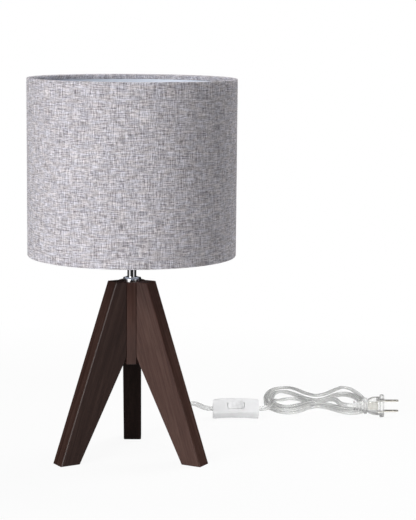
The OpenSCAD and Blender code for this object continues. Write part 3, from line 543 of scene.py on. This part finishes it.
def smooth_film(name):
    """Pale stiff lining with faint clouds and slight upright ripples."""
    tint = bpy.context.scene.lamp_shade.lining
    recipe = Recipe(name, Roughness=0.45)
    cloud = recipe.noise(recipe.coordinates(), 14)
    ripple = recipe.noise(recipe.coordinates(scale=(1, 1, 0.2)), 60, detail=2)
    recipe.colour(recipe.mix(recipe.spread(cloud, 0.35, 0.65), dimmed(tint, 0.93), tint))
    recipe.bump(ripple, 0.3 * MM, 0.25)
    return recipe.material


def pale_floor(tint):
    """A floor that looks white, more and more so away from the lamp, and keeps its shadow."""
    recipe = Recipe("pale_floor", Roughness=0.7)
    spot = recipe.coordinates()
    recipe.colour(recipe.mix(recipe.noise(spot, 3, detail=2), dimmed(tint, 0.985), tint))
    glow = recipe.node("ShaderNodeEmission")
    glow.inputs["Color"].default_value = (1, 1, 1, 1)
    path = recipe.node("ShaderNodeLightPath")
    seen = recipe.combine("MAXIMUM", path.outputs["Is Camera Ray"], path.outputs["Is Glossy Ray"])
    seen = recipe.combine("MAXIMUM", seen, path.outputs["Is Transmission Ray"])
    away = recipe.node("ShaderNodeVectorMath", operation="LENGTH")
    recipe.link(spot, away.inputs[0])
    white = recipe.spread(away.outputs["Value"], *FLOOR_WHITE_REACH, *FLOOR_WHITE)
    blend = recipe.node("ShaderNodeMixShader")
    recipe.link(recipe.combine("MULTIPLY", seen, white), blend.inputs[0])
    recipe.link(recipe.shader.outputs["BSDF"], blend.inputs[1])
    recipe.link(glow.outputs["Emission"], blend.inputs[2])
    recipe.link(blend.outputs["Shader"], recipe.output.inputs["Surface"])
    return recipe.material


def white_surroundings(level):
    """White behind the lamp, plain light on it, and for gloss a dark studio with two panels."""
    world = bpy.data.worlds.new("white_surroundings")
    world.use_nodes = True
    nodes = Nodes(world.node_tree)
    background = world.node_tree.nodes["Background"]
    background.inputs["Color"].default_value = (1, 1, 1, 1)
    parts = nodes.node("ShaderNodeSeparateXYZ")
    nodes.link(nodes.node("ShaderNodeTexCoord").outputs["Generated"], parts.inputs[0])
    ahead = nodes.combine("MULTIPLY", parts.outputs["Y"], -1.0)
    bearing = nodes.combine("ARCTAN2", parts.outputs["X"], ahead)
    turned = nodes.combine("MULTIPLY_ADD", bearing, 0.5 / math.pi, 0.5)
    stops = [(0.5 + degrees / 360, (shade,) * 3) for degrees, shade in STUDIO_PANELS]
    studio = nodes.ramp(turned, *stops, interpolation="CONSTANT")
    path = nodes.node("ShaderNodeLightPath")
    seen = nodes.combine("MAXIMUM", path.outputs["Is Camera Ray"],
                         path.outputs["Is Transmission Ray"])
    plain = nodes.combine("MULTIPLY_ADD", seen, 1.0 - level, level)
    strength = nodes.mix_numbers(path.outputs["Is Glossy Ray"], plain, studio)
    nodes.link(strength, background.inputs["Strength"])
    return world


def dress(node, material, bevel=0.0, segments=2):
    """Gives a solid of the frame its material, and softens its edges by the bevel's width."""
    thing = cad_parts[node]
    thing.data.materials.clear()
    thing.data.materials.append(material)
    if bevel > 0:
        rounded = thing.modifiers.new("softened_edges", "BEVEL")
        rounded.width = bevel
        rounded.segments = segments
        rounded.limit_method = "ANGLE"
        rounded.angle_limit = math.radians(SOFTENED)
        rounded.harden_normals = True
    return thing


# ---- Meshes ----

def smooth_faces(mesh, sharp):
    """Smooths a mesh's faces into each other, apart from edges over sharp degrees."""
    mesh.polygons.foreach_set("use_smooth", [True] * len(mesh.polygons))
    mesh.set_sharp_from_angle(angle=math.radians(sharp))


def finish_piece(name, mesh, material, sharp):
    """A new piece of the lamp from its mesh."""
    thing = bpy.data.objects.new(name, mesh)
    bpy.context.collection.objects.link(thing)
    mesh.materials.append(material)
    smooth_faces(mesh, sharp)
    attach(thing, LAMP)
    return thing


def skin_mesh(name, rings, tube=True):
    """Mesh over a stack of rings: a capped tube, or else an open sheet.

    Its UVs are in metres: round each ring, and along the stack."""
    mesh = bpy.data.meshes.new(name)
    form = bmesh.new()
    uv = form.loops.layers.uv.new("UVMap")
    sheets = [[form.verts.new(p) for p in ring] for ring in rings]
    count = len(rings[0])
    travel = 0.0
    for below, above in zip(sheets, sheets[1:]):
        rise = (above[0].co - below[0].co).length
        lap = 0.0
        for j in range(count if tube else count - 1):
            k = (j + 1) % count
            step = (below[k].co - below[j].co).length
            face = form.faces.new((below[j], below[k], above[k], above[j]))
            corners = ((lap, travel), (lap + step, travel),
                       (lap + step, travel + rise), (lap, travel + rise))
            for loop, corner in zip(face.loops, corners):
                loop[uv].uv = corner
            lap += step
        travel += rise
    if tube:
        form.faces.new(list(reversed(sheets[0])))
        form.faces.new(sheets[-1])
    bmesh.ops.recalc_face_normals(form, faces=form.faces)
    form.to_mesh(mesh)
    form.free()
    return mesh


def ease(x):
    """0 up to 0, 1 from 1 on, and a smooth rise between them."""
    c = min(max(x, 0.0), 1.0)
    return c * c * (3 - 2 * c)


def wide_side(azimuth, lean):
    """The way that the cord's wide side points, azimuth degrees round from +X and lean up."""
    a, b = math.radians(azimuth), math.radians(lean)
    return Vector((math.cos(b) * math.cos(a), math.cos(b) * math.sin(a), math.sin(b)))


def stations(route):
    """The centre and wide side of the cord at each point of a route."""
    return [(Vector(point[:3]), wide_side(*point[3:])) for point in route]


def bushing_points():
    """Points straight out of the bushing, with the cord's wide side level."""
    angle = math.radians(BUSHING_ANGLE)
    return tuple((reach * math.cos(angle), reach * math.sin(angle), BUSHING_Z, BUSHING_ANGLE + 90, 0)
                 for reach in BUSHING_REACH)


def hank_point(t):
    """Centre of the cord after t loops of the hank."""
    turn = math.radians(360 * t - 90)
    c, s = math.cos(turn), math.sin(turn)
    n = t if t <= TURN_BACK else 2 * TURN_BACK - t
    high = TURN_BACK < t < HIGH_END
    along = ((HALF_RIGHT if c > 0 else HALF_LEFT) + STEP_END * n) * c
    if high:
        lobe = DEPTH_HIGH
    elif s <= 0:
        lobe = DEPTH_FRONT
    else:
        lobe = DEPTH_BACK_RIGHT if c > 0 else DEPTH_BACK_LEFT
    reach = HIGH_REACH if high else WAIST_REACH - WAIST_STEP * n
    waist = WAIST_HALF + STEP_WAIST * n
    swell = 1 - math.exp(-((along / reach) ** 2))
    across = s * (waist + (lobe + STEP_DEPTH * n - waist) * swell)
    hump = ease((t - HUMP_UP) / HUMP_UP_RUN) * ease((HUMP_DOWN - t) / HUMP_DOWN_RUN)
    climb = ease((t - TURN_BACK) / CLIMB_RUN)
    height = LAYER_LOW + (LAYER_TOP - LAYER_LOW) * climb + (LAYER_OVER - LAYER_TOP) * hump
    return Vector((HANK_CENTRE[0] + along, HANK_CENTRE[1] + across, height))


def hank_stations():
    """The hank's stations between its ends, with the cord's wide side level, left of its run."""
    count = HANK_LOOPS * HANK_RINGS
    centres = [hank_point(i / HANK_RINGS) for i in range(count + 1)]
    made = []
    for i in range(1, count):
        run = centres[i + 1] - centres[i - 1]
        made.append((centres[i], Vector((-run.y, run.x, 0)).normalized()))
    return made


def slope(chord, beside):
    """Slope of a smooth curve where two chords meet, scaled to the first one."""
    span, other = chord.length, beside.length
    return (chord * other / (other + span)
            + beside * (span / other) * span / (other + span))


def smoothed(points):
    """Stations about every RING_STEP along one smooth curve through the given ones."""
    made = []
    last = len(points) - 1
    for i in range(last):
        p1, p2 = points[i][0], points[i + 1][0]
        chord = p2 - p1
        leave = chord if i == 0 else slope(chord, p1 - points[i - 1][0])
        reach = chord if i + 1 == last else slope(chord, points[i + 2][0] - p2)
        count = max(1, round(chord.length / RING_STEP))
        for k in range(count):
            # A cubic curve: a and c weigh its two ends, and b and d its slopes there
            t = k / count
            a, b = 2 * t**3 - 3 * t**2 + 1, t**3 - 2 * t**2 + t
            c, d = -2 * t**3 + 3 * t**2, t**3 - t**2
            centre = p1 * a + leave * b + p2 * c + reach * d
            made.append((centre, (points[i][1] * (1 - t) + points[i + 1][1] * t).normalized()))
    made.append(points[last])
    return made


def cord_frames(path):
    """Centre, wide side and thin side along a path of stations."""
    made = []
    for i, (centre, wide) in enumerate(path):
        run = (path[min(i + 1, len(path) - 1)][0] - path[max(i - 1, 0)][0]).normalized()
        side = (wide - run * wide.dot(run)).normalized()
        made.append((centre, side, run.cross(side)))
    return made


def twin_section(sides):
    """Two round lobes with a groove between them."""
    spread = math.radians(LOBE_SWEEP)
    right = [-spread / 2 + spread * k / (sides - 1) for k in range(sides)]
    lobe = [(LOBE_X + LOBE_R * math.cos(a), LOBE_R * math.sin(a)) for a in right]
    other = [(-x, y) for x, y in reversed(lobe)]
    return lobe + [(0.0, GROOVE_HALF)] + other + [(0.0, -GROOVE_HALF)]


def wire_section(offset):
    """A round conductor, offset from the cord's middle."""
    angles = [2 * math.pi * k / WIRE_SIDES for k in range(WIRE_SIDES)]
    return [(offset + WIRE_R * math.cos(a), WIRE_R * math.sin(a)) for a in angles]


def swept(name, frames, section, material):
    """A piece with one section all along the cord."""
    rings = [[c + side * x + up * y for x, y in section] for c, side, up in frames]
    return finish_piece(name, skin_mesh(name, rings), material, SHARP_CORD)


def make_cord(name, route, materials):
    """One stretch of clear cord, its two tinned conductors, and the points that it follows."""
    vinyl, tinned = materials
    path = smoothed(route)
    frames = cord_frames(path)
    section = twin_section(bpy.context.scene.lamp_cord.sides)
    jacket = swept(name, frames, section, vinyl)
    wires = [swept(f"{name}_wire_{tag}", frames, wire_section(x), tinned)
             for tag, x in (("a", LOBE_X), ("b", -LOBE_X))]
    return jacket, wires, [centre for centre, _ in path]


def rounded_outline(half_y, half_z):
    """Points round a rectangle with rounded corners."""
    points = []
    for turn, (side_y, side_z) in enumerate(((1, 1), (-1, 1), (-1, -1), (1, -1))):
        for k in range(CORNER_STEPS + 1):
            a = math.radians(90 * (turn + k / CORNER_STEPS))
            points.append((side_y * (half_y - CARRIER_CORNER) + CARRIER_CORNER * math.cos(a),
                           side_z * (half_z - CARRIER_CORNER) + CARRIER_CORNER * math.sin(a)))
    return points


def carrier_rings():
    """Rings along the block inside the plug, which has eased ends and a groove round it."""
    low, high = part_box("plug_body")
    start = Vector((low.x + CARRIER_START, (low.y + high.y) / 2, (low.z + high.z) / 2))
    rings = []
    for along, inset in CARRIER_RINGS:
        centre = start + Vector((along * MM, 0, 0))
        half_y, half_z = (half - inset * MM for half in CARRIER_HALF)
        rings.append([centre + Vector((0, y, z)) for y, z in rounded_outline(half_y, half_z)])
    return rings


def cloth_profile(shade):
    """Outer face of the cloth, from its lower inside edge round both rims to its upper one.

    Each point has its radius, its height, and its share of the wall's unevenness."""
    low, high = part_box("shade_cloth")
    lining_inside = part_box("shade_lining")[1].x - LINING_T
    wire_centre = lining_inside - WIRE_RING_R - SLIP
    turn_r = WIRE_RING_R + SLIP + shade.thickness
    turn_top = low.z + 2 * turn_r
    hem_r = lining_inside - SLIP - shade.thickness
    lower = [(hem_r, turn_top + shade.hem, 0.0), (hem_r, turn_top + HEM_FLAT, 0.0)]
    for k in range(TURN_ROWS + 1):
        a = math.radians(TURN_START + TURN_SWEEP * k / TURN_ROWS)
        lower.append((wire_centre + turn_r * math.cos(a), low.z + turn_r + turn_r * math.sin(a), 0.0))
    lower += [(high.x - inset, low.z + rise, loose) for inset, rise, loose in RIM]
    rim_h = RIM[-1][1]
    wall_h = high.z - low.z - 2 * rim_h
    wall = [(high.x, low.z + rim_h + wall_h * k / WALL_ROWS, 1.0) for k in range(1, WALL_ROWS)]
    upper = [(r, low.z + high.z - z, loose) for r, z, loose in reversed(lower)]
    return lower + wall + upper


def drum_rows(profile, radius, overlap):
    """Rows round the drum, one for each point of its profile, from seam to seam at the back."""
    lap = overlap / radius
    lap_share = lap / (2 * math.pi)
    start = math.radians(SEAM_ANGLE) - lap / 2
    columns = []
    for i in range(DRUM_COLUMNS + 1):
        turned = i / DRUM_COLUMNS
        angle = start + (2 * math.pi + lap) * turned
        lift = SEAM_LIFT * ease((turned - (1 - SEAM_RISE * lap_share)) / lap_share)
        column = []
        for r, z, loose in profile:
            spot = Vector((math.cos(angle), math.sin(angle), z * RIPPLE_HEIGHT)) * RIPPLE_SCALE
            out = r + loose * (lift + RIPPLE_DEPTH * noise.noise(spot))
            column.append(Vector((out * math.cos(angle), out * math.sin(angle), z)))
        columns.append(column)
    return list(zip(*columns))


# ---- Stage ----

def make_floor(tint):
    """A round floor just under the feet."""
    mesh = bpy.data.meshes.new("floor")
    form = bmesh.new()
    bmesh.ops.create_circle(form, cap_ends=True, radius=FLOOR_REACH, segments=FLOOR_SIDES)
    form.to_mesh(mesh)
    form.free()
    mesh.materials.append(pale_floor(tint))
    floor = bpy.data.objects.new("floor", mesh)
    floor.location.z = -FLOOR_DROP
    bpy.context.collection.objects.link(floor)


def make_softbox(name, place, aim, size, watts):
    """A square softbox."""
    data = bpy.data.lights.new(name, "AREA")
    data.shape = "SQUARE"
    data.size = size
    place_light(data, place, aim, watts)


def make_spot(name, place, aim, cone, watts):
    """A spot with a soft edge, for a cone of the given degrees."""
    data = bpy.data.lights.new(name, "SPOT")
    data.spot_size = math.radians(cone)
    data.spot_blend = SPOT_EDGE
    data.shadow_soft_size = SPOT_SIZE
    place_light(data, place, aim, watts)


def place_light(data, place, aim, watts):
    """Puts a light in its place, pointing at its aim."""
    data.energy = watts
    light = bpy.data.objects.new(data.name, data)
    bpy.context.collection.objects.link(light)
    light.location = place
    light.rotation_euler = (Vector(place) - Vector(aim)).to_track_quat("Z", "Y").to_euler()


# ---- Operators ----

class LAMP_OT_camera(bpy.types.Operator):
    """Places the camera where the lamp is seen from the front, a little from above"""
    bl_idname = "lamp.camera"
    bl_label = "Camera"

    def execute(self, context):
        data = bpy.data.cameras.new("camera")
        data.lens = CAMERA_LENS
        data.sensor_width = CAMERA_SENSOR
        camera = bpy.data.objects.new("camera", data)
        context.collection.objects.link(camera)
        back = -Vector(CAMERA_FORWARD).normalized()
        right = Vector(CAMERA_UP).cross(back).normalized()
        up = back.cross(right)
        turn = Matrix((right, up, back)).transposed().to_4x4()
        camera.matrix_world = Matrix.Translation(CAMERA_PLACE) @ turn
        context.scene.camera = camera
        return {"FINISHED"}


class LAMP_OT_plug(bpy.types.Operator):
    """Finishes the clear plug and its two blades, and makes the block that carries them"""
    bl_idname = "lamp.plug"
    bl_label = "Plug"

    def execute(self, context):
        vinyl = clear_vinyl("clear_plug_vinyl", context.scene.lamp_cord.vinyl, ior=1.5, alpha=0.8)
        smooth_faces(dress("plug_body", vinyl).data, SHARP_PLUG)
        dress("plug_blades", metal("blade_brass", (0.60, 0.575, 0.52), 0.35), 0.15 * MM)
        ivory = moulded("carrier_ivory", (0.95, 0.93, 0.86), 0.4, Transmission_Weight=0.35)
        finish_piece("plug_carrier", skin_mesh("plug_carrier", carrier_rings()),
                     ivory, SHARP_PLUG)
        return {"FINISHED"}


class LAMP_OT_cords(bpy.types.Operator):
    """Lays the clear cord: from the lamp to the switch, and on through the hank to the plug"""
    bl_idname = "lamp.cords"
    bl_label = "Cords"

    def execute(self, context):
        cord = context.scene.lamp_cord
        vinyl = clear_vinyl("clear_cord_vinyl", cord.vinyl)
        tinned = metal("tinned_wire", cord.wire, 0.45, metallic=0.35)
        route = stations(bushing_points() + LAMP_TO_SWITCH)
        jacket, wires, path = make_cord("cord_to_switch", route, (vinyl, tinned))
        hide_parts("cord_lamp_to_switch")
        route = stations(SWITCH_TO_HANK) + hank_stations() + stations(HANK_TO_PLUG)
        jacket, wires, path = make_cord("cord_to_plug", route, (vinyl, tinned))
        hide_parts("cord_switch_to_hank", "cord_hank", "cord_hank_to_plug")
        dress("inner_cord", vinyl)
        bushing = clear_vinyl("clear_bushing", cord.vinyl, roughness=0.2, transmission=0.6)
        dress("cord_bushing", bushing, 0.1 * MM)
        return {"FINISHED"}


class LAMP_OT_wood(bpy.types.Operator):
    """Stains the legs and the post with the grain along their length, paints each leg lighter or darker
    for the light that falls on it, and finishes the dowels
    """
    bl_idname = "lamp.wood"
    bl_label = "Wood"

    def execute(self, context):
        lean = math.atan2(LEG_RUN, LEG_RISE)
        for leg, (angle, stain_and_painted_shade, cut) in LEGS.items():
            dress(leg, stained_wood(f"{leg}_stain", angle, lean, stain_and_painted_shade, cut), 0.35 * MM)
        dress("center_post", stained_wood("post_stain", 0, 0.0, 1.05, 0.33), 0.3 * MM)
        dress("leg_dowels", plain_wood("dowel_beech"))
        return {"FINISHED"}


class LAMP_OT_metalwork(bpy.types.Operator):
    """Finishes the plated neck and collar, and the zinc-plated nut, washer, screws and pin"""
    bl_idname = "lamp.metalwork"
    bl_label = "Metalwork"

    def execute(self, context):
        plated = metal("plated_neck", (0.80, 0.80, 0.81), 0.07, grain=(1, 1, 0.1))
        zinc = metal("zinc_plate", (0.62, 0.63, 0.65), 0.34)
        dress("neck_tube", plated)
        dress("neck_collar", plated, 0.2 * MM)
        dress("post_washer", zinc, 0.15 * MM)
        dress("post_nut", zinc, 0.3 * MM)
        dress("switch_screws", zinc)
        dress("rocker_pin", zinc)
        return {"FINISHED"}


class LAMP_OT_holder(bpy.types.Operator):
    """Finishes the lamp holder under the shade, and the brass inside the switch"""
    bl_idname = "lamp.holder"
    bl_label = "Lamp holder"

    def execute(self, context):
        black = moulded("holder_black", (0.022, 0.022, 0.024), 0.42, 0.05 * MM)
        brass = metal("shell_brass", (0.70, 0.50, 0.20), 0.25)
        for node in ("holder_cap", "holder_body", "shade_clamp_ring"):
            dress(node, black, 0.25 * MM)
        dress("holder_core", moulded("holder_insulator", (0.72, 0.68, 0.58), 0.5), 0.2 * MM)
        for node in ("screw_shell", "center_contact", "switch_terminals", "contact_strip"):
            dress(node, brass)
        return {"FINISHED"}


class LAMP_OT_shade(bpy.types.Operator):
    """Makes the cloth drum with its turned hems and back seam, and finishes its lining and wires"""
    bl_idname = "lamp.shade"
    bl_label = "Shade"

    def execute(self, context):
        shade = context.scene.lamp_shade
        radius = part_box("shade_cloth")[1].x
        profile = cloth_profile(shade)
        mesh = skin_mesh("shade_drum", drum_rows(profile, radius, shade.overlap), tube=False)
        drum = finish_piece("shade_drum", mesh, woven_cloth("heathered_cloth"), SHARP_CLOTH)
        thick = drum.modifiers.new("cloth_thickness", "SOLIDIFY")
        thick.thickness = shade.thickness * CLEAR_SHARE
        thick.offset = -1.0
        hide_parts("shade_cloth")
        dress("shade_lining", smooth_film("lining_film"))
        dress("shade_fitter", moulded("white_powder_coat", (0.74, 0.74, 0.74), 0.4))
        dress("shade_top_ring", metal("white_wire", (0.7, 0.7, 0.7), 0.4))
        return {"FINISHED"}


class LAMP_OT_switch(bpy.types.Operator):
    """Finishes the inline switch: its two shells and its rocker"""
    bl_idname = "lamp.switch"
    bl_label = "Switch"

    def execute(self, context):
        switch = context.scene.lamp_switch
        white = moulded("switch_white", switch.body, 0.36, 0.02 * MM, Subsurface_Weight=0.08,
                        Subsurface_Radius=(0.004, 0.004, 0.004), Subsurface_Scale=1.0)
        bright = moulded("rocker_white", switch.rocker, 0.28, 0.01 * MM)
        dress("switch_base", white, 0.6 * MM, segments=3)
        dress("switch_cover", white, 0.7 * MM, segments=3)
        dress("switch_rocker", bright, 0.4 * MM, segments=3)
        return {"FINISHED"}


class LAMP_OT_stage(bpy.types.Operator):
    """Makes the pale floor, the white surroundings and the lights"""
    bl_idname = "lamp.stage"
    bl_label = "Stage"

    def execute(self, context):
        stage = context.scene.lamp_stage
        make_floor(stage.floor)
        context.scene.world = white_surroundings(stage.world)
        make_softbox("key_light", KEY_PLACE, KEY_AIM, KEY_SIZE, stage.key_power)
        make_softbox("rim_light", RIM_PLACE, RIM_AIM, RIM_SIZE, stage.rim_power)
        make_softbox("top_light", TOP_PLACE, TOP_AIM, TOP_SIZE, stage.top_power)
        make_spot("cord_light", SPOT_PLACE, SPOT_AIM, SPOT_CONE, stage.cord_power)
        context.scene.view_settings.view_transform = "Standard"
        return {"FINISHED"}


class LAMP_PT_panel(bpy.types.Panel):
    """Lists the lamp's settings, and its pieces in the order in which they are made"""
    bl_idname = "LAMP_PT_panel"
    bl_label = "Table lamp"
    bl_space_type = "VIEW_3D"
    bl_region_type = "UI"
    bl_category = "Lamp"

    def draw(self, context):
        for group in SETTINGS:
            settings = getattr(context.scene, group)
            box = self.layout.box()
            for name in settings.bl_rna.properties.keys():
                if name not in {"rna_type", "name"}:
                    box.prop(settings, name)
        for operator in OPERATORS:
            self.layout.operator(operator.bl_idname)


SETTINGS = {
    "lamp_shade": ShadeSettings,
    "lamp_wood": WoodSettings,
    "lamp_cord": CordSettings,
    "lamp_switch": SwitchSettings,
    "lamp_stage": StageSettings,
}

# In the order of making. The plug comes before the cords.
OPERATORS = (
    LAMP_OT_camera, LAMP_OT_plug, LAMP_OT_cords, LAMP_OT_wood, LAMP_OT_metalwork,
    LAMP_OT_holder, LAMP_OT_shade, LAMP_OT_switch, LAMP_OT_stage,
)


def register():
    """Adds the lamp's settings, operators and panel to Blender."""
    for kind in (*SETTINGS.values(), *OPERATORS, LAMP_PT_panel):
        bpy.utils.register_class(kind)
    for name, kind in SETTINGS.items():
        setattr(bpy.types.Scene, name, PointerProperty(type=kind))


def unregister():
    """Takes them out again."""
    for name in SETTINGS:
        delattr(bpy.types.Scene, name)
    for kind in reversed((*SETTINGS.values(), *OPERATORS, LAMP_PT_panel)):
        bpy.utils.unregister_class(kind)


def main():
    """Makes the whole lamp."""
    register()
    for operator in OPERATORS:
        section, name = operator.bl_idname.split(".")
        getattr(getattr(bpy.ops, section), name)()


if __name__ == "__main__":
    main()
